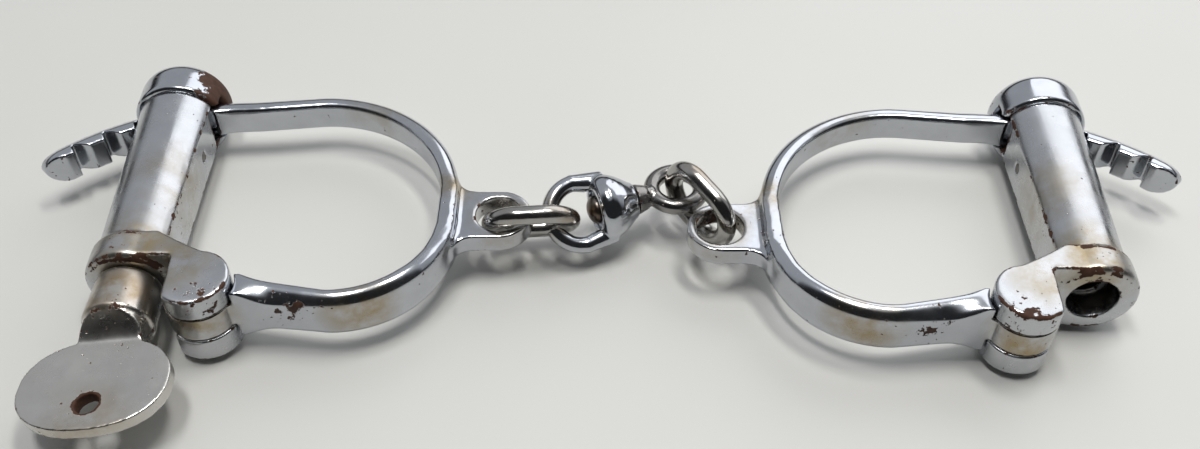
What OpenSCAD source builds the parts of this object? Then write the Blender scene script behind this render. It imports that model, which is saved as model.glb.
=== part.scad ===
// Pair of barrel-lock handcuffs with a swivel chain and a screw key.
// Both cuffs lie flat. +Z is up, and the origin is on the ground under the middle of the pair.

/* [Layout] */
// Left hinge pin, distance to the left of the origin
left_pin_x = 80.6; // [78:0.1:84]
// Left hinge pin, distance in front of the origin
left_pin_y = 18; // [17:0.1:20]
// Right hinge pin, distance to the right of the origin
right_pin_x = 80.6; // [78:0.1:84]
// Right hinge pin, distance in front of the origin
right_pin_y = 21.8; // [21:0.1:24]
// Height of every lock's centre line
axis_z = 10.3; // [10.3:0.1:12]

/* [Lock] */
// Distance from the hinge pin to the lock's centre line
lock_offset = 15.2; // [15:0.1:15.6]
// Angle between the lock and the bow as they lie
lock_lean = 2; // [1.5:0.5:2.5]
// Key end of the lock, measured from the hinge pin
face_s = 5.6; // [5.2:0.1:6]
// Inner end of the collar
collar_s = 13; // [12.5:0.1:13.5]
// Where the barrel ends and the cap begins
cap_s = 55.4; // [55.2:0.1:55.8]
// Radius of the collar
collar_r = 9.2; // [9:0.1:9.6]
// Barrel radius beside the collar
barrel_near_r = 8.2; // [8:0.1:8.6]
// Barrel radius beside the cap
barrel_far_r = 9.2; // [9:0.1:9.6]
// Radius of the cap
cap_r = 10.3; // [10:0.1:10.3]
// Length of the cap's straight wall
cap_wall = 6.1; // [5:0.1:7]
// Height of the cap's dome
cap_dome = 5.7; // [4:0.1:6]

/* [Hinge] */
// Radius of the knuckle's leaves
leaf_r = 7; // [6.8:0.1:7.2]
// Half the knuckle's height
leaf_half = 8.7; // [8.4:0.1:8.9]
// Half the height of the bow's tongue
tongue_half = 3; // [2.6:0.1:3.2]
// Radius of the hinge pin
pin_r = 2; // [1.6:0.1:2.4]
// Metal left over the hinge pin's upper end
pin_cover = 1.2; // [1:0.1:2]

/* [Bow] */
// Inner radius of the free arm, centred on the hinge pin
arm_in_r = 55; // [54.8:0.1:55.2]
// Thickness of the free arm
arm_t = 4.4; // [4:0.1:4.4]
// Thickness of the band around the wrist
band_t = 4; // [3.6:0.1:4.1]
// Angle of the free arm's tip about the hinge pin
tip_angle = 138.5; // [138:0.5:140]
// Half the band's height beside the hinge
band_half = 6.2; // [5.8:0.1:6.4]
// Half the band's height along the free arm
arm_half = 4; // [3.8:0.05:4.1]
// Number of ratchet notches
notch_count = 5; // [4:1:5]
// Angle from one notch to the next
notch_step = 7.2; // [7:0.1:7.4]
// Depth of a notch
notch_depth = 2.4; // [2.2:0.1:2.6]
// Radius of the eye in the tab
eye_r = 4.9; // [4.8:0.1:5.2]
// Thickness of the tab
tab_t = 4.6; // [4.2:0.1:5]

/* [Bolt work] */
// Radius of the keyhole
keyhole_r = 5.05; // [4.9:0.05:5.2]
// Radius of the bolt's chamber
chamber_r = 5.6; // [5.5:0.1:5.8]
// How far the bolt is drawn back from the notch
bolt_travel = 3.8; // [3.4:0.1:4]
// Turns in the bolt's spring
spring_turns = 8; // [6:1:10]

/* [Chain] */
// Radius of the links' wire
wire_r = 2; // [1.9:0.05:2.05]
// Outer length of a link
link_length = 21; // [20.6:0.1:21.4]
// Outer width of a link
link_width = 16; // [15.6:0.1:16.4]
// Radius of the stirrup's wire
stirrup_wire_r = 1.8; // [1.7:0.05:1.9]

/* [Key] */
// Width of the key's bow
key_bow_w = 28.8; // [28:0.2:30]
// Length of the key's bow along the shank
key_bow_l = 21; // [20:0.5:22]
// Thickness of the key's bow
key_bow_t = 2.8; // [2.4:0.1:3.2]
// Radius of the hole for a key ring
key_hole_r = 2.2; // [1.8:0.1:2.4]
// Tilt of the key's bow from level
key_tilt = 5; // [3:1:8]

/* [Hidden] */
$fn = 96;

steel = "#b9bcc0";
dark_steel = "#6d6a66";
spring_steel = "#8a8d92";
brassy = "#b7a67c";

eps = 0.01;
big = 200;
fit = 0.03;                                   // radial gap of a fixed fit
run = 0.06;                                   // radial gap of a running fit
gap = 0.15;                                   // gap between faces that turn on each other

// Bow outline: two corner arcs, joined by straight bars
far_c = [16, 28.2];                           // centre of the corner beside the free arm
far_r = 32.6;                                 // its outer radius
near_c = [25, 19.7];                          // centre of the corner beside the hinge
near_r = 23.7;                                // its outer radius
root_x = 8;                                   // where the band meets the tongue
root_in_y = 3.1;
root_out_y = -2.6;
arm_out_r = arm_in_r + arm_t;
tongue_r = leaf_r - 0.2;
shoulder_r = leaf_r + 0.35;

// Tab beside the bow's crown
eye_c = [57.5, 23.4];
tab_r = 6.9;
tab_root_x = 46.6;
tab_fillet = 4;

// Lock stations along its centre line
flat_near = 6.6;                              // from the centre line to the flat, beside the collar
flat_far = 7.6;                               // and beside the cap
spigot_r = 8;
spigot_l = 4.8;
keyhole_end_s = 12;                           // inner end of the keyhole
throat_r = 4.4;
seat_s = 17;                                  // the shoulder that the spring seat stands on
seat_l = 3.4;
stem_s = keyhole_end_s + 0.3;
head_s = 40.2;
head_l = 7;
head_r = chamber_r - run;
stem_r = 2.95;
stem_thread_l = 12;
stem_pitch = 1.5;
thread_depth = 0.35;
seat_hole_r = 3.3;
slot_play = 0.4;
slot_mouth = 1.8;                             // extra room on the arm's inner side
slot_half = arm_half + slot_play;
guide_s = head_s + 3.5;
guide_r = 1.1;
guide_tip = 3.9;                              // how near the guide pin comes to the centre line
bolt_angle = 108;                             // where the bolt meets the free arm
tip_w = 3.2;
spring_r = 4.35;                              // coil radius of the bolt's spring
spring_wire = 0.55;

// Chain stations, from the hinge pins and the tabs
left_eye = [eye_c[0] - left_pin_x, eye_c[1] - left_pin_y];
right_eye = [right_pin_x - eye_c[0], eye_c[1] - right_pin_y];
link_half = link_length / 2 - wire_r;         // centre line of a link's end
link_bend = link_width / 2 - wire_r;          // centre line radius of a link's end
left_link_c = [left_eye[0] + 6.65, left_eye[1] - 0.3];
left_link_yaw = 4;
link_lean = 31;                               // the left link leans towards the hinge side
swivel_yaw = 20;
swivel_o = [left_link_c[0] + 2.5, left_link_c[1] - 0.5];
stirrup_r = 6.7;                              // centre line radius of the stirrup's bow
stirrup_roll = 38;
leg_l = 6.5;
leg_in = 11;                                  // how far the stirrup's legs turn in
leg_end_r = 2.4;
bell_s = 11.7;                                // inner face of the stirrup's bell
bell_end = 20.6;
recess_r = 4.4;                               // recess that the spindle's head sits in
recess_l = 1.2;
spindle_r = 2.2;
spindle_head_r = 3.1;
spindle_head_l = 2.6;
spindle_play = 0.3;
collet_r = 3.4;
collet_l = 2.6;
eye_ring_r = 5.3;                             // centre line radius of the swivel's eye
eye_wire_r = 1.8;
eye_ring_s = 30.4;
right_link_dir = 128.5;                       // heading of the right link from the tab's eye
right_link_rise = 13;
right_link_start = [right_eye[0] + 1.4, right_eye[1] + 1, axis_z - 0.6];

// Key stations along the lock's centre line
key_nose_s = seat_s - 0.3;
key_bore_r = 3.3;
key_neck_s = face_s - 0.3;
key_near_r = 6.65;                            // shank beside the lock
key_body_r = 7;                               // shank at its outer end
key_ridge_s = -5.3;
key_bow_s = -19.5;
key_bow_x = -0.8;
key_hole_s = key_bow_s - 4.6;

// ---- placing ----

module left_bow_frame() {
    translate([-left_pin_x, -left_pin_y, axis_z]) children();
}

module right_bow_frame() {
    translate([right_pin_x, -right_pin_y, axis_z]) mirror([1, 0, 0]) children();
}

// Lock frame: centre line along +Z, wrist side towards +X, up towards +Y
module lock_axis() {
    rotate([0, 0, lock_lean])
        translate([-lock_offset, 0, 0])
            rotate([-90, 0, 0])
                mirror([0, 1, 0])
                    children();
}

module swivel_axis() {
    translate([swivel_o[0], swivel_o[1], axis_z])
        rotate([0, 0, swivel_yaw])
            rotate([0, 90, 0])
                children();
}

// ---- shared shapes ----

// Points along an arc, from one angle to another
function arc(centre, r, from, to, steps) = [
    for (i = [0 : steps])
        let (angle = from + (to - from) * i / steps)
            [centre[0] + r * cos(angle), centre[1] + r * sin(angle)]
];

module torus(r, wire) {
    rotate_extrude() translate([r, 0]) circle(r = wire, $fn = 32);
}

module half_torus(r, wire) {
    rotate_extrude(angle = 180) translate([r, 0]) circle(r = wire, $fn = 32);
}

// ---- bow ----

// Plan of the band and the free arm, as one closed outline
module band_outline() {
    polygon(concat(
        arc([0, 0], arm_out_r, tip_angle, 90, 30),
        arc(far_c, far_r, 90, 0, 18),
        arc(near_c, near_r, 0, -90, 18),
        [[root_x, root_out_y], [leaf_r * 0.7, root_out_y], [leaf_r * 0.7, root_in_y], [root_x, root_in_y]],
        arc(near_c, near_r - band_t, -90, 0, 18),
        arc(far_c, far_r - band_t, 0, 90, 18),
        arc([0, 0], arm_in_r, 90, tip_angle, 30)
    ));
}

module arm_sector(r_in, r_out, from, to, half) {
    rotate([0, 0, from])
        rotate_extrude(angle = to - from)
            translate([r_in, -half])
                square([r_out - r_in, 2 * half]);
}

module tab_outline() {
    fillet_x = tab_root_x + 1.8 + tab_fillet;
    polygon(concat(
        arc(eye_c, tab_r, -90, 90, 24),
        arc([fillet_x, eye_c[1] + tab_r + tab_fillet], tab_fillet, 270, 190, 8),
        [[tab_root_x, eye_c[1] + tab_r + tab_fillet], [tab_root_x, eye_c[1] - tab_r - tab_fillet]],
        arc([fillet_x, eye_c[1] - tab_r - tab_fillet], tab_fillet, 170, 90, 8)
    ));
}

// Side view of the band: tall beside the hinge, low along the free arm
module band_height() {
    rotate([90, 0, 90])
        linear_extrude(height = big, center = true)
            polygon([
                [-10, band_half], [2, band_half], [34.5, arm_half], [70, arm_half],
                [70, -arm_half], [34.5, -arm_half], [2, -band_half], [-10, -band_half]
            ]);
}

module notch(angle) {
    rotate([0, 0, angle])
        linear_extrude(height = big, center = true)
            polygon([
                [arm_in_r - 1, 2.2],
                [arm_in_r + notch_depth, 1.9],
                [arm_in_r + notch_depth, 1.3],
                [arm_in_r - 1, -2.6]
            ]);
}

// What is cut from the free arm to round its tip, seen from the side
module tip_rounding() {
    length = 4.5;                             // how far back the rounding starts
    for (side = [-1, 1])
        rotate([0, 0, tip_angle])
            translate([arm_in_r - 1, 0, 0])
                rotate([90, 0, 90])
                    linear_extrude(height = arm_t + 2)
                        polygon(concat(
                            [[-length, side * (arm_half + 1)], [1, side * (arm_half + 1)], [1, 0]],
                            [for (i = [0 : 9])
                                [length * (cos(10 * i) - 1), side * arm_half * sin(10 * i)]]
                        ));
}

module bow() {
    difference() {
        union() {
            intersection() {
                linear_extrude(height = 2 * band_half, center = true) band_outline();
                band_height();
            }
            linear_extrude(height = tab_t, center = true) tab_outline();
            cylinder(r = tongue_r, h = 2 * tongue_half, center = true);
        }
        for (side = [-1, 1])
            translate([0, 0, side * (tongue_half + big / 2)])
                cylinder(r = shoulder_r, h = big, center = true);
        cylinder(r = pin_r + run, h = big, center = true);
        tip_rounding();
        translate([eye_c[0], eye_c[1], 0]) cylinder(r = eye_r, h = big, center = true);
        for (i = [0 : notch_count - 1]) notch(bolt_angle + (i - 1) * notch_step);
        // The tip is bevelled on its inner side
        rotate([0, 0, tip_angle])
            linear_extrude(height = big, center = true)
                polygon([[arm_in_r - 1, -6], [arm_in_r - 1, 1], [arm_in_r + 2.8, 1]]);
    }
}

// ---- lock ----

// Room that the free arm passes through
module arm_passage() {
    arm_sector(arm_in_r - slot_mouth, arm_out_r + slot_play, 92, 128, slot_half);
}

module lug_outline() {
    polygon(arc([0, 0], leaf_r, -138, 138, 64));
    polygon([
        [-lock_offset, face_s + 0.6],
        [-leaf_r + 1.6, face_s + 0.4],
        [-leaf_r + 1.8, -3],
        [0, -leaf_r + 0.5],
        [leaf_r * 0.6, leaf_r * 0.8],
        [0.5, leaf_r * 0.995],
        [-4.5, collar_s - 3.2],
        [-lock_offset + 6, collar_s - 0.2],
        [-lock_offset, collar_s - 0.2]
    ]);
}

// The D-shaped barrel, collar and hinge lug are one piece
module lock_barrel() {
    difference() {
        union() {
            lock_axis() {
                difference() {
                    translate([0, 0, collar_s - 1])
                        cylinder(r1 = barrel_near_r, r2 = barrel_far_r, h = cap_s - collar_s + 1);
                    rotate([90, 0, 0])
                        linear_extrude(height = big, center = true)
                            polygon([
                                [flat_near, collar_s - 2], [flat_far, cap_s + 1],
                                [big, cap_s + 1], [big, collar_s - 2]
                            ]);
                }
                rotate_extrude()
                    polygon([
                        [0, face_s], [collar_r - 1.2, face_s], [collar_r - 0.3, face_s + 0.5],
                        [collar_r, face_s + 1.2], [collar_r, collar_s - 1.2],
                        [collar_r - 0.5, collar_s - 0.3], [collar_r - 1.2, collar_s], [0, collar_s]
                    ]);
                translate([0, 0, cap_s - eps]) cylinder(r = spigot_r, h = spigot_l);
            }
            rotate([0, 0, lock_lean])
                linear_extrude(height = 2 * leaf_half, center = true) lug_outline();
        }
        lock_axis() {
            translate([0, 0, face_s - 3]) cylinder(r = keyhole_r, h = keyhole_end_s - face_s + 3);
            translate([0, 0, keyhole_end_s - 1]) cylinder(r = throat_r, h = seat_s - keyhole_end_s + 2);
            translate([0, 0, seat_s]) cylinder(r = chamber_r, h = arm_out_r - 4 - seat_s);
            translate([0, 0, guide_s]) rotate([0, 90, 0]) cylinder(r = guide_r + fit, h = 20);
        }
        // Passage for the bow's free arm
        arm_passage();
        // Room for the bow's tongue
        cylinder(r = leaf_r + 0.4, h = 2 * (tongue_half + gap), center = true);
        translate([0, 0, -big]) cylinder(r = pin_r + fit, h = big + leaf_half - pin_cover);
        translate([leaf_r * 0.2, -leaf_r - 2, -tongue_half - gap])
            cube([leaf_r, 2 * leaf_r, 2 * (tongue_half + gap)]);
    }
}

module end_cap() {
    wall_s = cap_s + cap_wall;
    difference() {
        lock_axis()
            difference() {
                rotate_extrude()
                    polygon(concat(
                        [[0, cap_s + 0.05], [cap_r - 0.6, cap_s + 0.05], [cap_r, cap_s + 0.6]],
                        [for (i = [0 : 17])
                            [cap_r * pow(cos(5 * i), 0.75), wall_s + cap_dome * pow(sin(5 * i), 0.9)]],
                        [[0, wall_s + cap_dome]]
                    ));
                translate([0, 0, cap_s - 1]) cylinder(r = spigot_r + fit, h = spigot_l + 1.2);
            }
        arm_passage();
    }
}

// The pin goes in from below, and stops short of the upper leaf's top
module hinge_pin() {
    translate([0, 0, -leaf_half + 0.1]) cylinder(r = pin_r, h = 2 * leaf_half - pin_cover - 0.2);
}

module guide_pin() {
    lock_axis()
        translate([guide_tip, 0, guide_s])
            rotate([0, 90, 0])
                cylinder(r = guide_r, h = flat_near - guide_tip + 0.6);
}

// Bolt: wedge tip, sliding head with a keyway, and a stem with a ridged thread
module bolt() {
    lock_axis() {
        difference() {
            translate([0, 0, head_s]) cylinder(r = head_r, h = head_l);
            translate([guide_tip - 0.3, -guide_r - 0.2, head_s - 1 - bolt_travel])
                cube([chamber_r, 2 * guide_r + 0.4, guide_s - head_s + 2.5 + bolt_travel]);
        }
        rotate([90, 0, 0])
            linear_extrude(height = 5, center = true)
                polygon([
                    [-tip_w / 2, head_s + head_l - 1], [-tip_w / 2, head_s + head_l + 3.2],
                    [-tip_w / 2 + 0.5, head_s + head_l + 3.2],
                    [tip_w / 2, head_s + head_l + 0.6], [tip_w / 2, head_s + head_l - 1]
                ]);
        translate([0, 0, stem_s + stem_thread_l - eps])
            cylinder(r = stem_r - thread_depth, h = head_s - stem_s - stem_thread_l + 0.5);
        rotate_extrude()
            polygon(concat(
                [[0, stem_s]],
                [for (i = [0 : stem_thread_l / stem_pitch - 1], half = [0, 1])
                    [stem_r - (half == 0 ? thread_depth : 0), stem_s + (i + half / 2) * stem_pitch]],
                [[stem_r - thread_depth, stem_s + stem_thread_l], [0, stem_s + stem_thread_l]]
            ));
    }
}

// Coil spring: a square-section wire swept along a helix
module bolt_spring() {
    steps = 20;
    count = spring_turns * steps;
    z0 = seat_s + seat_l + 0.1 + spring_wire;
    z1 = head_s - 0.1 - spring_wire;
    ring = [for (i = [0 : count], k = [0 : 5])
        let (turn = 360 * i / steps, side = 60 * k, r = spring_r + spring_wire * cos(side))
            [r * cos(turn), r * sin(turn), z0 + (z1 - z0) * i / count + spring_wire * sin(side)]];
    sides = [for (i = [0 : count - 1], k = [0 : 5])
        let (a = 6 * i + k, b = 6 * i + (k + 1) % 6)
            [a, b, b + 6, a + 6]];
    ends = [[for (k = [5 : -1 : 0]) k], [for (k = [0 : 5]) 6 * count + k]];
    lock_axis() polyhedron(points = ring, faces = concat(sides, ends), convexity = 10);
}

module spring_seat() {
    lock_axis()
        difference() {
            translate([0, 0, seat_s + 0.02]) cylinder(r = chamber_r - fit, h = seat_l);
            cylinder(r = seat_hole_r, h = big);
        }
}

// ---- chain ----

// Oval link: two half rings and two straight bars, long way along X, in the XY plane
module link() {
    straight = link_half - link_bend;
    for (side = [-1, 1]) {
        translate([side * straight, 0, 0]) rotate([0, 0, side * -90]) half_torus(link_bend, wire_r);
        translate([0, side * link_bend, 0])
            rotate([0, 90, 0]) cylinder(r = wire_r, h = 2 * straight + 2 * eps, center = true, $fn = 32);
    }
}

module left_link() {
    translate([left_link_c[0], left_link_c[1], axis_z])
        rotate([0, 0, left_link_yaw])
            rotate([90 + link_lean, 0, 0])
                link();
}

module right_link() {
    translate(right_link_start)
        rotate([0, -right_link_rise, right_link_dir])
            translate([link_half, 0, 0])
                rotate([90, 0, 0])
                    link();
}

// Stirrup: a bent wire bow whose legs run into a domed, bored bell
module swivel_stirrup() {
    swivel_axis() rotate([0, 0, stirrup_roll])
        difference() {
            union() {
                translate([0, 0, stirrup_r + stirrup_wire_r])
                    rotate([-90, 0, 90])
                        half_torus(stirrup_r, stirrup_wire_r);
                for (side = [-1, 1])
                    translate([0, side * (stirrup_r + 0.05), stirrup_r + stirrup_wire_r - 0.3]) {
                        sphere(r = stirrup_wire_r + 0.05, $fn = 32);
                        rotate([side * leg_in, 0, 0])
                            cylinder(r1 = stirrup_wire_r, r2 = leg_end_r, h = leg_l, $fn = 32);
                    }
                rotate_extrude()
                    polygon([
                        [0, bell_s], [5.6, bell_s], [6.5, bell_s + 0.6], [6.95, bell_s + 1.5],
                        [7.1, bell_s + 2.5], [6.9, bell_s + 3.7], [6.4, bell_s + 4.9],
                        [5.7, bell_s + 6.1], [4.9, bell_s + 7.2], [4.2, bell_end - 0.8],
                        [3.8, bell_end], [0, bell_end]
                    ]);
            }
            cylinder(r = spindle_r + run, h = big);
            translate([0, 0, bell_s - 1]) cylinder(r = recess_r, h = recess_l + 1);
        }
}

module swivel_eye() {
    head_face = bell_s + recess_l - spindle_play;
    swivel_axis() {
        translate([0, 0, head_face - spindle_head_l])
            rotate_extrude()
                polygon(concat(
                    [[0, spindle_head_l], [spindle_head_r, spindle_head_l]],
                    [for (i = [0 : 8])
                        [spindle_head_r * cos(10 * i), 1.9 * (1 - sin(10 * i))]],
                    [[0, 0]]
                ));
        translate([0, 0, head_face - eps])
            cylinder(r = spindle_r, h = eye_ring_s - eye_ring_r - head_face);
        translate([0, 0, bell_end + spindle_play]) cylinder(r1 = collet_r, r2 = 2.6, h = collet_l);
        translate([0, 0, eye_ring_s]) rotate([0, 90, 0]) torus(eye_ring_r, eye_wire_r);
    }
}

// ---- key ----

module key() {
    lock_axis() {
        difference() {
            union() {
                translate([0, 0, keyhole_end_s - 1])
                    cylinder(r = throat_r - run, h = key_nose_s - keyhole_end_s + 1);
                translate([0, 0, key_neck_s - 1])
                    cylinder(r = keyhole_r - run, h = keyhole_end_s - 0.3 - key_neck_s + 1);
                rotate([0, 0, 50]) rotate_extrude()
                    polygon([
                        [0, key_neck_s], [key_near_r - 0.5, key_neck_s], [key_near_r, key_neck_s - 0.5],
                        [key_body_r, key_ridge_s + 0.5], [key_body_r - 0.4, key_ridge_s], [0, key_ridge_s]
                    ]);
            }
            translate([0, 0, key_neck_s - 4]) cylinder(r = key_bore_r, h = big);
        }
        rotate([0, 0, key_tilt]) {
            intersection() {
                translate([0, 0, key_bow_s]) rotate([90, 0, 0])
                    linear_extrude(height = big, center = true) key_web_outline();
                rotate([90, 0, 90]) linear_extrude(height = big, center = true) key_scoop_outline();
                translate([0, 0, key_bow_s]) cylinder(r = key_body_r - 0.5, h = key_ridge_s + 1 - key_bow_s);
            }
            translate([key_bow_x, 0, key_bow_s])
                rotate([90, 0, 0])
                    difference() {
                        linear_extrude(height = key_bow_t, center = true) key_bow_outline();
                        translate([0, key_hole_s - key_bow_s, 0])
                            cylinder(r = key_hole_r, h = big, center = true);
                    }
        }
    }
}

// Oval with slightly flattened sides
module key_bow_outline() {
    blunt = 0.88;
    polygon([
        for (i = [0 : 71])
            let (x = cos(5 * i), y = sin(5 * i))
                [key_bow_w / 2 * sign(x) * pow(abs(x), blunt), key_bow_l / 2 * sign(y) * pow(abs(y), blunt)]
    ]);
}

// Web between the key's bow and its shank, seen from above
module key_web_outline() {
    ridge = key_ridge_s - key_bow_s;
    polygon([
        [-8.4, 4], [-7.6, key_bow_l / 2 - 1.5], [-6.4, key_bow_l / 2], [-6, ridge - 1.8], [-6.6, ridge + 1],
        [6.6, ridge + 1], [6, ridge - 1.8], [5.9, key_bow_l / 2], [6.6, key_bow_l / 2 - 1.5], [7.2, 4]
    ]);
}

// Side view of the same web: hollowed out above and below
module key_scoop_outline() {
    thin = key_bow_t / 2 - 0.1;
    deep = 7.5;                               // half the thickness, just inside the shank
    reach = 5.6;                              // length of the hollow
    curve = [for (i = [0 : 10])
        [thin + (deep - thin) * pow(1 - i / 10, 2), key_ridge_s + 0.3 - reach * i / 10]];
    polygon(concat(
        [[0, key_ridge_s + 1], [deep, key_ridge_s + 1]], curve, [[thin, key_bow_s], [-thin, key_bow_s]],
        [for (i = [10 : -1 : 0]) [-curve[i][0], curve[i][1]]], [[-deep, key_ridge_s + 1]]
    ));
}

// ---- nodes ----

color(steel) left_bow_frame() bow();  // left_bow
color(steel) left_bow_frame() lock_barrel();  // left_lock_barrel
color(steel) left_bow_frame() end_cap();  // left_end_cap
color(dark_steel) left_bow_frame() hinge_pin();  // left_hinge_pin
color(dark_steel) left_bow_frame() bolt();  // left_bolt
color(spring_steel) left_bow_frame() bolt_spring();  // left_bolt_spring
color(brassy) left_bow_frame() spring_seat();  // left_spring_seat
color(dark_steel) left_bow_frame() guide_pin();  // left_guide_pin
color(steel) right_bow_frame() bow();  // right_bow
color(steel) right_bow_frame() lock_barrel();  // right_lock_barrel
color(steel) right_bow_frame() end_cap();  // right_end_cap
color(dark_steel) right_bow_frame() hinge_pin();  // right_hinge_pin
color(dark_steel) right_bow_frame() bolt();  // right_bolt
color(spring_steel) right_bow_frame() bolt_spring();  // right_bolt_spring
color(brassy) right_bow_frame() spring_seat();  // right_spring_seat
color(dark_steel) right_bow_frame() guide_pin();  // right_guide_pin
color(steel) left_link();
color(steel) swivel_stirrup();
color(dark_steel) swivel_eye();
color(steel) right_link();
color(steel) left_bow_frame() key();
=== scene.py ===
import math

import bmesh
import bpy
import numpy as np
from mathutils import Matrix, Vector, kdtree


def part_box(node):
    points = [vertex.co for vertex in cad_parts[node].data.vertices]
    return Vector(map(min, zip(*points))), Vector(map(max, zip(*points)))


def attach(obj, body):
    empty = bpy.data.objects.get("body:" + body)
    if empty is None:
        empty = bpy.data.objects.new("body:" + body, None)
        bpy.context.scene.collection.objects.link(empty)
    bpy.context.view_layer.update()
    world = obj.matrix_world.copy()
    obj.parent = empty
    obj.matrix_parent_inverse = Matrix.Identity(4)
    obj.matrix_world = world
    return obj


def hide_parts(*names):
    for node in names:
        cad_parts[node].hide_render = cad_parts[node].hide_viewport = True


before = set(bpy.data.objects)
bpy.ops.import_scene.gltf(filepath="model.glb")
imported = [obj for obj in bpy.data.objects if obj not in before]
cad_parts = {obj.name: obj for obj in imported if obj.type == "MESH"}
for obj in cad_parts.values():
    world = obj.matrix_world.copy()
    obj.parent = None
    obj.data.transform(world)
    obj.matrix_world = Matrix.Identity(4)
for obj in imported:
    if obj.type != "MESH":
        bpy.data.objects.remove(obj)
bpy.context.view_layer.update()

MM = 0.001
scene = bpy.context.scene

# The bow's plan in millimetres from the hinge pin: x across the wrist, y along the lock
BAND = 4.0                      # thickness of the band
ARM_R = 55.0                    # inner radius of the free arm
ROOT_X, ROOT_Y = 8.0, 3.1       # inner corner beside the hinge
FAR_BEND = (16.0, 28.2)         # centre of the bend beside the free arm
FAR_BEND_R = 28.6               # its inner radius
NEAR_BEND = (25.0, 19.7)        # centre of the bend beside the hinge
NEAR_BEND_R = 19.7              # its inner radius
EYE = (57.5, 23.4)              # centre of the tab's eye


# ---- places ----

def middle(node):
    """Centre of a CAD node's box."""
    lo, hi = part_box(node)
    return (lo + hi) / 2


def axle(side):
    """A hinge pin's place at the height of the locks' centre lines."""
    pin = middle(side + "_hinge_pin")
    return Vector((pin.x, pin.y, middle(side + "_end_cap").z))


PINS = {"left": axle("left"), "right": axle("right")}


def cuff(side, x, y, z=0.0):
    """A point of a cuff in millimetres from its hinge pin: x across the wrist, y along the lock, z up."""
    outward = 1 if side == "left" else -1
    return PINS[side] + Vector((outward * x, y, z)) * MM


def across_and_along(side, co):
    """How far each vertex lies from its hinge pin, in millimetres: across the wrist, and along the lock."""
    outward = 1 if side == "left" else -1
    away = (co - np.array(PINS[side])) / MM
    return away[:, 0] * outward, away[:, 1]


# ---- meshes ----

def skin(node, name, voxel):
    """A fine even mesh over a CAD node, and the places of the node's sharp edges."""
    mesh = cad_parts[node].data.copy()
    mesh.materials.clear()
    bm = bmesh.new()
    bm.from_mesh(mesh)
    bmesh.ops.remove_doubles(bm, verts=bm.verts, dist=2e-6)
    creases = [Vector((9, 9, 9))]
    for edge in bm.edges:
        if len(edge.link_faces) == 2 and edge.calc_face_angle(0.0) > math.radians(28):
            a, b = (v.co for v in edge.verts)
            steps = max(1, int((b - a).length / (0.3 * MM)))
            creases += [a.lerp(b, i / steps) for i in range(steps + 1)]
    bm.to_mesh(mesh)
    bm.free()
    piece = bpy.data.objects.new(name, mesh)
    scene.collection.objects.link(piece)
    remesh = piece.modifiers.new("skin", "REMESH")
    remesh.mode = "VOXEL"
    remesh.voxel_size = voxel * MM
    shown = piece.evaluated_get(bpy.context.evaluated_depsgraph_get())
    fine = bpy.data.meshes.new_from_object(shown)
    piece.modifiers.clear()
    piece.data = fine
    fine.name = name
    tree = kdtree.KDTree(len(creases))
    for i, place in enumerate(creases):
        tree.insert(place, i)
    tree.balance()
    return piece, tree


def points(mesh):
    """A mesh's vertices as an array, in metres."""
    co = np.empty(len(mesh.vertices) * 3, np.float32)
    mesh.vertices.foreach_get("co", co)
    return co.reshape(-1, 3).astype(float)


def relax(mesh, passes, weight=1.0):
    """Rounds a mesh off: each vertex moves part of the way to the mean of its neighbours."""
    co = points(mesh)
    ends = np.empty(len(mesh.edges) * 2, np.int32)
    mesh.edges.foreach_get("vertices", ends)
    a, b = ends.reshape(-1, 2).T
    here, there = np.concatenate([a, b]), np.concatenate([b, a])
    count = np.bincount(here, minlength=len(co)).clip(1)
    share = 0.5 * np.broadcast_to(weight, len(co))
    for _ in range(passes):
        mean = [np.bincount(here, co[there, k], len(co)) / count for k in range(3)]
        co += share[:, None] * (np.stack(mean, 1) - co)
    mesh.vertices.foreach_set("co", co.astype(np.float32).ravel())
    mesh.update()


def near(co, spots):
    """For each vertex, how near it is to any of the spots, from 0 to the spot's own strength."""
    most = np.zeros(len(co))
    for place, radius, strength in spots:
        away = np.linalg.norm(co - np.array(place), axis=1) / (radius * MM)
        most = np.maximum(most, strength * np.clip(1.4 - away, 0, 1))
    return most


def keep(mesh, name, values):
    """Stores a value for each vertex, for the material to read."""
    layer = mesh.attributes.new(name, "FLOAT", "POINT")
    layer.data.foreach_set("value", values.astype(np.float32))


def forge(node, body, material, voxel=0.28, passes=6, soften=None, wear_and_painted_shade=(), tarnish=(), shape=None):
    """Makes the shown piece for one CAD node: a fine mesh, rounded off, with its worn places, and some
    painted shade, marked on it.
    """
    piece, creases = skin(node, node + "_skin", voxel)
    mesh = piece.data
    if shape:
        mesh.vertices.foreach_set("co", shape(points(mesh)).astype(np.float32).ravel())
    distance = np.array([creases.find(v.co)[2] / MM for v in mesh.vertices])
    relax(mesh, passes)
    if soften:
        where, more = soften
        relax(mesh, more, where(points(mesh)))
    co = points(mesh)
    keep(mesh, "edge_mm", np.clip(distance, 0, 4))
    keep(mesh, "wear_and_painted_shade", near(co, wear_and_painted_shade))
    keep(mesh, "tarnish", near(co, tarnish))
    mesh.polygons.foreach_set("use_smooth", [True] * len(mesh.polygons))
    mesh.materials.append(material)
    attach(piece, body)
    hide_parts(node)
    return piece


# ---- materials ----

def linear(code):
    """A hex colour such as C8CACD as linear light."""
    parts = [int(code[i:i + 2], 16) / 255 for i in (0, 2, 4)]
    return [p / 12.92 if p <= 0.04045 else ((p + 0.055) / 1.055) ** 2.4 for p in parts] + [1.0]


def size(millimetres):
    """The scale of a pattern whose features are this long."""
    return 1 / (millimetres * MM)


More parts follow.
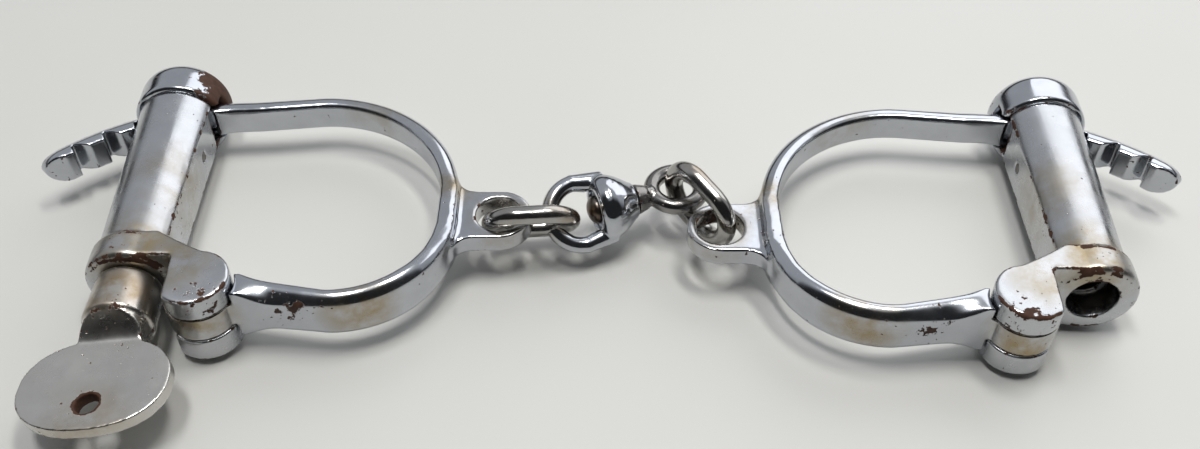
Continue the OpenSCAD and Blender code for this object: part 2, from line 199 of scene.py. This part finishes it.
def add(tree, kind, inputs=None, **settings):
    """Adds one node with its settings, and sets or links its inputs."""
    made = tree.nodes.new(kind)
    for key, value in settings.items():
        setattr(made, key, value)
    for key, value in (inputs or {}).items():
        if isinstance(value, bpy.types.NodeSocket):
            tree.links.new(value, made.inputs[key])
        else:
            made.inputs[key].default_value = value
    return made


def blank(name):
    """A new material and its empty node tree."""
    material = bpy.data.materials.new(name)
    material.use_nodes = True
    material.node_tree.nodes.clear()
    return material, material.node_tree


def plated_steel(name, plate="C6C9CE", cloudy_plate="AEB1B7", brass="9C8A66", rust="2E1C14",
                 gloss=0.09, chips=0.5, rims=0.11, tint=0.6):
    """Old bright plate over forged steel. It mirrors the room a little softly, is finely scratched
    by wiping, yellows where it is handled, and shows brown steel where it has chipped. The same
    brown also paints shade where a spot is marked strongly."""
    material, tree = blank(name)
    place = add(tree, "ShaderNodeTexCoord").outputs["Object"]
    edge = add(tree, "ShaderNodeAttribute", attribute_name="edge_mm").outputs["Fac"]
    wear_and_painted_shade = add(tree, "ShaderNodeAttribute", attribute_name="wear_and_painted_shade").outputs["Fac"]
    stain = add(tree, "ShaderNodeAttribute", attribute_name="tarnish").outputs["Fac"]

    # Chips: blotches about 2.5 mm across, most of them on edges and where the piece is worn; where a spot is
    # marked strongly they also paint shade, as dark brown
    blotch = add(tree, "ShaderNodeTexNoise", {
        "Vector": place, "Scale": size(2.6), "Detail": 6.0, "Roughness": 0.62}).outputs["Fac"]
    at_edge = add(tree, "ShaderNodeMapRange", {
        "Value": edge, "From Min": 0.15, "From Max": 0.9, "To Min": rims, "To Max": 0.0},
        interpolation_type="SMOOTHSTEP").outputs["Result"]
    raised = add(tree, "ShaderNodeMath", {0: wear_and_painted_shade, 1: 0.26, 2: at_edge}, operation="MULTIPLY_ADD").outputs[0]
    total = add(tree, "ShaderNodeMath", {0: raised, 1: blotch}, operation="ADD").outputs[0]
    limit = 0.84 - 0.1 * chips
    chip_and_painted_shade = add(tree, "ShaderNodeMapRange", {
        "Value": total, "From Min": limit, "From Max": limit + 0.012}).outputs["Result"]

    # Pits: dark specks under a millimetre, where the piece is worn, and painted shade where a spot is marked
    # strongly
    speck = add(tree, "ShaderNodeTexNoise", {
        "Vector": place, "Scale": size(1.1), "Detail": 2.0, "Roughness": 0.5}).outputs["Fac"]
    pitting_and_painted_shade = add(tree, "ShaderNodeMath", {0: wear_and_painted_shade, 1: 0.12, 2: speck}, operation="MULTIPLY_ADD").outputs[0]
    pit_and_painted_shade = add(tree, "ShaderNodeMapRange", {
        "Value": pitting_and_painted_shade, "From Min": 0.745, "From Max": 0.77}).outputs["Result"]
    bare_steel_and_painted_shade = add(tree, "ShaderNodeMath", {0: chip_and_painted_shade, 1: pit_and_painted_shade}, operation="MAXIMUM").outputs[0]

    # Tarnish: cloudy yellowing about 6 mm across
    cloud = add(tree, "ShaderNodeTexNoise", {
        "Vector": place, "Scale": size(6), "Detail": 5.0, "Roughness": 0.6}).outputs["Fac"]
    patchy = add(tree, "ShaderNodeMapRange", {
        "Value": cloud, "From Min": 0.36, "From Max": 0.60, "To Min": 0.2, "To Max": 1.0}).outputs["Result"]
    stained = add(tree, "ShaderNodeMath", {0: patchy, 1: stain}, operation="MULTIPLY").outputs[0]
    yellow = add(tree, "ShaderNodeMath", {0: stained, 1: 1.6 * tint}, operation="MULTIPLY",
                 use_clamp=True).outputs[0]

    # Colours
    dull = add(tree, "ShaderNodeMix", {0: cloud, 6: linear(plate), 7: linear(cloudy_plate)},
               data_type="RGBA").outputs[2]
    warm = add(tree, "ShaderNodeMix", {0: yellow, 6: dull, 7: linear(brass)}, data_type="RGBA").outputs[2]
    browns = add(tree, "ShaderNodeMix", {0: speck, 6: linear(rust), 7: linear("5A3A28")},
                 data_type="RGBA").outputs[2]
    colour = add(tree, "ShaderNodeMix", {0: bare_steel_and_painted_shade, 6: warm, 7: browns}, data_type="RGBA").outputs[2]
    metal = add(tree, "ShaderNodeMapRange", {
        "Value": bare_steel_and_painted_shade, "To Min": 1.0, "To Max": 0.25}).outputs["Result"]

    # Gloss: a soft mirror, hazier in smudges, dull where bare
    smudge = add(tree, "ShaderNodeTexNoise", {
        "Vector": place, "Scale": size(9), "Detail": 4.0, "Roughness": 0.65}).outputs["Fac"]
    hazy = add(tree, "ShaderNodeMapRange", {
        "Value": smudge, "From Min": 0.35, "From Max": 0.7,
        "To Min": gloss, "To Max": gloss + 0.14}).outputs["Result"]
    tarnished = add(tree, "ShaderNodeMath", {0: yellow, 1: 0.16, 2: hazy},
                    operation="MULTIPLY_ADD").outputs[0]
    rough = add(tree, "ShaderNodeMath", {0: bare_steel_and_painted_shade, 1: 0.5, 2: tarnished}, operation="MULTIPLY_ADD",
                use_clamp=True).outputs[0]

    # Relief: hammered waves 5 mm long, wiping scratches 0.15 mm wide, chips a hair deep
    waves = add(tree, "ShaderNodeTexNoise", {
        "Vector": place, "Scale": size(5), "Detail": 1.0, "Roughness": 0.4}).outputs["Fac"]
    along = add(tree, "ShaderNodeMapping", {
        "Vector": place, "Rotation": (0.3, 0.5, 0.6), "Scale": (1.0, 0.06, 1.0)}).outputs["Vector"]
    scratch = add(tree, "ShaderNodeTexNoise", {
        "Vector": along, "Scale": size(0.35), "Detail": 3.0, "Roughness": 0.6}).outputs["Fac"]
    wavy = add(tree, "ShaderNodeBump", {
        "Height": waves, "Strength": 0.35, "Distance": 0.10 * MM}).outputs["Normal"]
    scratched = add(tree, "ShaderNodeBump", {
        "Height": scratch, "Normal": wavy, "Strength": 0.25, "Distance": 0.012 * MM}).outputs["Normal"]
    relief = add(tree, "ShaderNodeBump", {
        "Height": bare_steel_and_painted_shade, "Normal": scratched, "Strength": 0.7, "Distance": 0.06 * MM},
        invert=True).outputs["Normal"]

    shader = add(tree, "ShaderNodeBsdfPrincipled", {
        "Base Color": colour, "Metallic": metal, "Roughness": rough, "Normal": relief})
    add(tree, "ShaderNodeOutputMaterial", {"Surface": shader.outputs["BSDF"]})
    return material


def worn_metal(name, base, shade, gloss, grain_mm):
    """Bare metal inside the lock: turned, then oiled and handled, so its colour and shine are uneven."""
    material, tree = blank(name)
    place = add(tree, "ShaderNodeTexCoord").outputs["Object"]
    film = add(tree, "ShaderNodeTexNoise", {
        "Vector": place, "Scale": size(2), "Detail": 5.0, "Roughness": 0.6}).outputs["Fac"]
    grain = add(tree, "ShaderNodeTexNoise", {
        "Vector": place, "Scale": size(grain_mm), "Detail": 2.0}).outputs["Fac"]
    colour = add(tree, "ShaderNodeMix", {0: film, 6: linear(base), 7: linear(shade)},
                 data_type="RGBA").outputs[2]
    rough = add(tree, "ShaderNodeMapRange", {
        "Value": film, "From Min": 0.3, "From Max": 0.7,
        "To Min": gloss, "To Max": gloss + 0.2}).outputs["Result"]
    relief = add(tree, "ShaderNodeBump", {
        "Height": grain, "Strength": 0.4, "Distance": 0.03 * MM}).outputs["Normal"]
    shader = add(tree, "ShaderNodeBsdfPrincipled", {
        "Base Color": colour, "Metallic": 1.0, "Roughness": rough, "Normal": relief})
    add(tree, "ShaderNodeOutputMaterial", {"Surface": shader.outputs["BSDF"]})
    return material


def melamine():
    """White melamine table top: a hard satin sheet with a faint moulded texture."""
    material, tree = blank("white_melamine_satin")
    place = add(tree, "ShaderNodeTexCoord").outputs["Object"]
    tone = add(tree, "ShaderNodeTexNoise", {
        "Vector": place, "Scale": size(90), "Detail": 3.0}).outputs["Fac"]
    grit = add(tree, "ShaderNodeTexNoise", {
        "Vector": place, "Scale": size(1.2), "Detail": 3.0}).outputs["Fac"]
    colour = add(tree, "ShaderNodeMix", {0: tone, 6: linear("CFCFCB"), 7: linear("C9C8C4")},
                 data_type="RGBA").outputs[2]
    relief = add(tree, "ShaderNodeBump", {
        "Height": grit, "Strength": 0.2, "Distance": 0.02 * MM}).outputs["Normal"]
    shader = add(tree, "ShaderNodeBsdfPrincipled", {
        "Base Color": colour, "Roughness": 0.42, "Normal": relief})
    add(tree, "ShaderNodeOutputMaterial", {"Surface": shader.outputs["BSDF"]})
    return material


PLATE = plated_steel("plated_forged_steel")
BARREL_PLATE = plated_steel("plated_steel_wiped_barrel", plate="C9CBCE", cloudy_plate="B0B2B5",
                            gloss=0.2, chips=0.8, rims=0.2)
CAP_PLATE = plated_steel("plated_steel_chipped_cap", chips=1.0)
CHAIN_PLATE = plated_steel("plated_steel_handled_links", plate="BDBCBA", cloudy_plate="96928B",
                           brass="9A7B49", gloss=0.13, tint=1.0)
EYE_PLATE = plated_steel("plated_steel_darkened_swivel", plate="A09E9C", cloudy_plate="6E6A66",
                         brass="5A4632", gloss=0.18, chips=0.8)
KEY_PLATE = plated_steel("plated_steel_key", plate="D6D4CF", cloudy_plate="C2BFB9",
                         brass="94784C", gloss=0.2, chips=0.6)
PIN_STEEL = worn_metal("ground_steel_pin", "8C8781", "5E564E", 0.28, 0.5)
BOLT_STEEL = worn_metal("oiled_machined_steel_bolt", "5F5A55", "2E2926", 0.35, 0.4)
SPRING_STEEL = worn_metal("blued_spring_steel", "6A6C72", "3B3A3C", 0.3, 0.3)
SEAT_BRASS = worn_metal("turned_brass_seat", "B8914A", "7A5A2C", 0.3, 0.4)


# ---- the cuffs ----

def band_only(side):
    """Weights that round the bow's band and arm off more than its tongue, notches and eye."""
    def weigh(co):
        x, y = across_and_along(side, co)
        clear_of_tongue = np.clip((np.hypot(x, y) - 8.5) / 3, 0, 1)
        clear_of_notches = np.clip((x + 9) / 3, 0, 1)
        clear_of_tab = np.clip((50 - x) / 3, 0.15, 1)
        return clear_of_tongue * clear_of_notches * clear_of_tab
    return weigh


def crown(side):
    """Lowers the band's and arm's faces towards their outer edge, and a little towards the inner one."""
    outer_drop, inner_drop = 0.34, 0.12     # as shares of the height

    def shape(co):
        x, y = across_and_along(side, co)
        arm = np.hypot(x, y) - ARM_R
        far_bar = y - np.interp(x, [0, FAR_BEND[0]], [ARM_R, FAR_BEND[1] + FAR_BEND_R])
        far_bend = np.hypot(x - FAR_BEND[0], y - FAR_BEND[1]) - FAR_BEND_R
        near_bend = np.hypot(x - NEAR_BEND[0], y - NEAR_BEND[1]) - NEAR_BEND_R
        near_bar = np.interp(x, [ROOT_X, NEAR_BEND[0]], [ROOT_Y, 0]) - y
        in_far_half = y > 24
        past_inner = np.select([x < 0, in_far_half & (x < FAR_BEND[0]), in_far_half, x > NEAR_BEND[0]],
                               [arm, far_bar, far_bend, near_bend], near_bar)
        share = np.clip(past_inner / BAND, 0, 1)
        clear_of_tongue = np.clip((np.hypot(x, y) - 9) / 5, 0, 1)
        clear_of_tab = np.where(x > 40, np.clip((np.abs(y - EYE[1]) - 6) / 7, 0.1, 1), 1)
        drop = (outer_drop * share ** 3 + inner_drop * (1 - share) ** 3) * clear_of_tongue * clear_of_tab
        axis = PINS[side].z
        shaped = co.copy()
        shaped[:, 2] = axis + (co[:, 2] - axis) * (1 - drop)
        return shaped
    return shape


def lug_only(side):
    """Weights that round the hinge lug and collar off more than the barrel's crisp flat."""
    def weigh(co):
        return np.clip((13.5 - across_and_along(side, co)[1]) / 3, 0, 1)
    return weigh


# Each mark on a cuff is a place, a radius in millimetres and a strength
for side in ("left", "right"):
    left = side == "left"
    bow_wear = [
        (cuff(side, 18, -2, 2), 6, 0.85),
        (cuff(side, 26, -4, 3), 6, 0.4),
        (cuff(side, 44, 8, 3), 5, 0.3),
        (cuff(side, 52, 23, 3), 9, 0.35),
        (cuff(side, -38, 42, 2), 9, 0.4),
        (cuff(side, 2, 57, 2), 6, 0.4),
        (cuff(side, *EYE), 4.6, 1.2 if left else 2.4)]
    bow_tarnish = [
        (cuff(side, 0, -5, 0), 7, 1.0),
        (cuff(side, 32, -3, 2), 7, 0.9),
        (cuff(side, 48, 31, 3), 5, 0.8),
        (cuff(side, 58, 23, 0), 6, 1.0),
        (cuff(side, 30, 57, 3), 8, 0.4)]
    lock_wear = [
        (cuff(side, -9, 55, 0), 7, 0.7),
        (cuff(side, -16, 6, 8), 7, 0.55),
        (cuff(side, 2, -5, 7), 6, 0.75),
        (cuff(side, -9, 20, 2), 8, 0.35)]
    lock_tarnish = [
        (cuff(side, -14, 9, 9), 9, 0.9),
        (cuff(side, -4, 4, 8), 7, 0.8),
        (cuff(side, -11, 30, 4), 9, 0.5)]
    cap_wear = [
        (cuff(side, -9, 62, 4), 7, 2.1 if left else 0.5),
        (cuff(side, -18, 66, 5), 9, 0.35)]
    forge(side + "_bow", side + "_bow", PLATE, passes=4, soften=(band_only(side), 60),
          shape=crown(side), wear_and_painted_shade=bow_wear, tarnish=bow_tarnish)
    forge(side + "_lock_barrel", side + "_lock", BARREL_PLATE, passes=4,
          soften=(lug_only(side), 8), wear_and_painted_shade=lock_wear, tarnish=lock_tarnish)
    forge(side + "_end_cap", side + "_lock", CAP_PLATE, voxel=0.24, passes=14, wear_and_painted_shade=cap_wear)

for side in ("left", "right"):
    for part, material in (("hinge_pin", PIN_STEEL), ("guide_pin", PIN_STEEL), ("bolt", BOLT_STEEL),
                           ("bolt_spring", SPRING_STEEL), ("spring_seat", SEAT_BRASS)):
        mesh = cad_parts[side + "_" + part].data
        mesh.materials.clear()
        mesh.materials.append(material)


# ---- the chain and the key ----

left_link_end = Vector(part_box("left_link")[1])
stirrup_loop = middle("swivel_stirrup") - Vector((9, 2, 0)) * MM
for node, body, slot, material, spots in (
        ("left_link", "left_link", "link", CHAIN_PLATE, [(left_link_end, 8, 1.0)]),
        ("right_link", "right_link", "link", CHAIN_PLATE, [(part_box("right_link")[1], 9, 1.0)]),
        ("swivel_stirrup", "stirrup", "stirrup", PLATE, [(stirrup_loop, 5, 0.9)]),
        # The swivel eye's spot sits at its lowest corner, so the eye is darker and browner towards the
        # bottom.
        ("swivel_eye", "swivel_eye", "swivel_eye", EYE_PLATE, [(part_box("swivel_eye")[0], 9, 1.0)])):
    forge(node, body, material, voxel=0.2, passes=10, tarnish=spots,
          wear_and_painted_shade=[(middle(node), 6, 0.3)])

forge("key", "key", KEY_PLATE, voxel=0.22, passes=5,
      wear_and_painted_shade=[(cuff("left", -14, -9, 3), 8, 0.55), (cuff("left", -24, -30, 0), 9, 0.35),
            # This strong spot paints shade into the key's bow hole: dark brown chips and pits stand in for
            # the shadow inside it.
            (cuff("left", -15.1, -24.6), 2.6, 4.0)],
      tarnish=[(cuff("left", -15, -2, 5), 6, 1.0), (cuff("left", -14, -30, 3), 8, 0.5)])


# ---- the table, the light and the camera ----

bpy.ops.mesh.primitive_plane_add(size=8.0, location=(0, 0.3, 0))
table = bpy.context.object
table.name = "table_top"
table.data.materials.append(melamine())


def lamp(name, place, aim, wide, tall, power, tone):
    """A rectangular lamp at a place, facing another."""
    data = bpy.data.lights.new(name, "AREA")
    data.shape = "RECTANGLE"
    data.size, data.size_y = wide, tall
    data.energy = power
    data.color = linear(tone)[:3]
    lit = bpy.data.objects.new(name, data)
    scene.collection.objects.link(lit)
    lit.location = place
    lit.rotation_euler = (Vector(aim) - Vector(place)).to_track_quat("-Z", "Y").to_euler()


lamp("overhead_pair_near", (-0.12, -0.05, 0.95), (0, 0, 0), 0.34, 0.12, 3.6, "FFFFFF")
lamp("overhead_pair_far", (0.20, 0.12, 0.95), (0, 0, 0), 0.34, 0.12, 3.6, "FFFDF8")
lamp("soft_right_back", (0.55, 0.75, 0.62), (0, 0, 0), 1.1, 0.8, 4.0, "FBFCFF")

world = bpy.data.worlds.new("grey_studio")
scene.world = world
world.use_nodes = True
tree = world.node_tree
tree.nodes.clear()
way = add(tree, "ShaderNodeTexCoord").outputs["Generated"]
along = add(tree, "ShaderNodeSeparateXYZ", {0: way}).outputs
# The room behind the camera is dark up to the ceiling, and so are its walls all round near the table's height
front = add(tree, "ShaderNodeMapRange", {
    "Value": along["Y"], "From Min": 0.12, "From Max": -0.25},
    interpolation_type="SMOOTHSTEP").outputs["Result"]
under = add(tree, "ShaderNodeMapRange", {
    "Value": along["Z"], "From Min": 0.96, "From Max": 0.88},
    interpolation_type="SMOOTHSTEP").outputs["Result"]
wall = add(tree, "ShaderNodeMapRange", {
    "Value": along["Z"], "From Min": 0.30, "From Max": 0.12},
    interpolation_type="SMOOTHSTEP").outputs["Result"]
behind = add(tree, "ShaderNodeMath", {0: front, 1: under}, operation="MULTIPLY").outputs[0]
dark = add(tree, "ShaderNodeMath", {0: behind, 1: wall}, operation="MAXIMUM").outputs[0]
glow = add(tree, "ShaderNodeMapRange", {"Value": dark, "To Min": 0.56, "To Max": 0.03}).outputs["Result"]
sky = add(tree, "ShaderNodeBackground", {"Color": linear("EAEEF4"), "Strength": glow})
add(tree, "ShaderNodeOutputWorld", {"Surface": sky.outputs["Background"]})

camera_data = bpy.data.cameras.new("camera")
camera = bpy.data.objects.new("camera", camera_data)
scene.collection.objects.link(camera)
camera_data.sensor_width = 36.0
camera_data.lens = 36.4
camera_data.clip_start, camera_data.clip_end = 0.01, 10.0
camera.location = PINS["left"] + Vector((78.7, -156.2, 182.9)) * MM
camera.rotation_euler = (math.radians(90 - 45.7), 0, 0)
scene.camera = camera
scene.view_settings.view_transform = "Standard"
